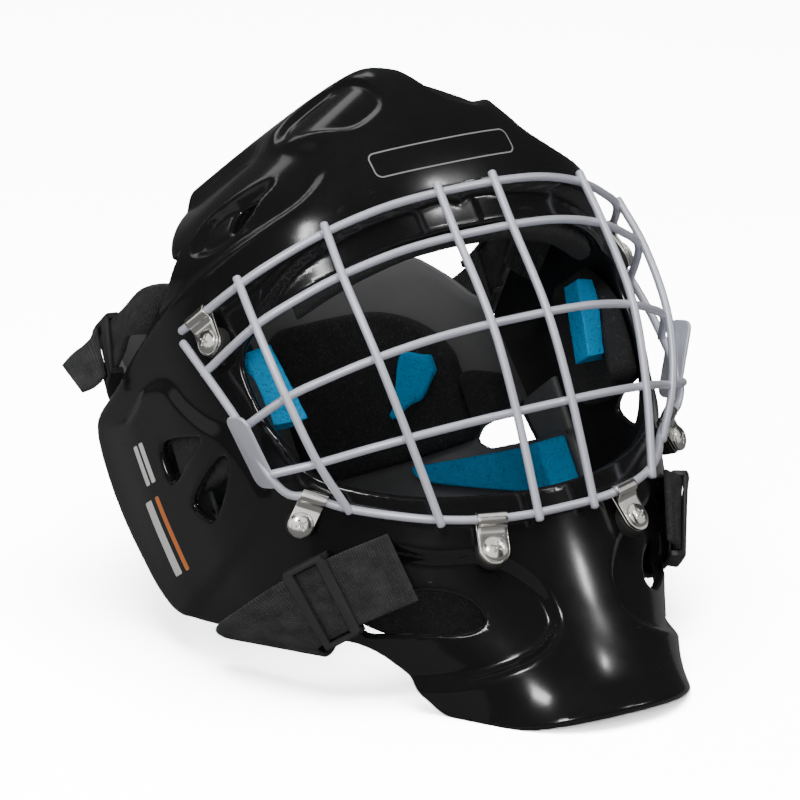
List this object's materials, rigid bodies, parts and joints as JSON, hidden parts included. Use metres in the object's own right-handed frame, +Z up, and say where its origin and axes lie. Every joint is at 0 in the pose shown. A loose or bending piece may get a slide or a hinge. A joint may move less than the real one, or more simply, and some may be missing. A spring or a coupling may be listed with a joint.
{
  "type": "hockey goalie mask",
  "caption": "Full-face goalie mask: glossy hard shell with a welded wire cage on screwed clips, foam lining, rear plate and elastic harness, resting leaned back.",
  "frame": {"origin": "centre of the footprint on the floor the mask rests on, with the face leaned back", "axes": "+Z up, the face looks toward -Y, +X toward the wearer's left"},
  "size_m": [0.235, 0.3022, 0.2369],
  "materials": {
    "shell": "gloss",
    "cage": "satin",
    "hardware": "polished",
    "washer_rubber": "matte",
    "black_foam": "matte",
    "blue_foam": "matte",
    "grey_plastic": "satin",
    "webbing": "matte",
    "slide_plastic": "satin"
  },
  "bodies": {
    "root": {"shell": "shell", "cage": "cage", "clip_upper_right": "hardware", "screw_upper_right": "hardware", "washer_upper_right": "washer_rubber", "clip_cheek_right": "hardware", "screw_cheek_right": "hardware", "washer_cheek_right": "washer_rubber", "clip_chin_right": "hardware", "screw_chin_right": "hardware", "washer_chin_right": "washer_rubber", "clip_upper_left": "hardware", "screw_upper_left": "hardware", "washer_upper_left": "washer_rubber", "clip_cheek_left": "hardware", "screw_cheek_left": "hardware", "washer_cheek_left": "washer_rubber", "clip_chin_left": "hardware", "screw_chin_left": "hardware", "washer_chin_left": "washer_rubber", "sweatband": "black_foam", "temple_block_right": "blue_foam", "temple_pad_right": "black_foam", "temple_block_left": "blue_foam", "temple_pad_left": "black_foam", "back_plate": "grey_plastic", "back_pad_right": "black_foam", "wing_pad_right": "black_foam", "nape_pad_right": "blue_foam", "side_pad_right": "blue_foam", "back_pad_left": "black_foam", "wing_pad_left": "black_foam", "nape_pad_left": "blue_foam", "side_pad_left": "blue_foam", "crown_strap": "webbing", "chin_sling": "black_foam", "jaw_strap_right": "webbing", "jaw_slide_right": "slide_plastic", "temple_strap_right": "webbing", "temple_slide_right": "slide_plastic", "temple_tail_right": "webbing", "jaw_strap_left": "webbing", "jaw_slide_left": "slide_plastic", "temple_strap_left": "webbing", "temple_slide_left": "slide_plastic", "temple_tail_left": "webbing"}
  },
  "joints": []
}
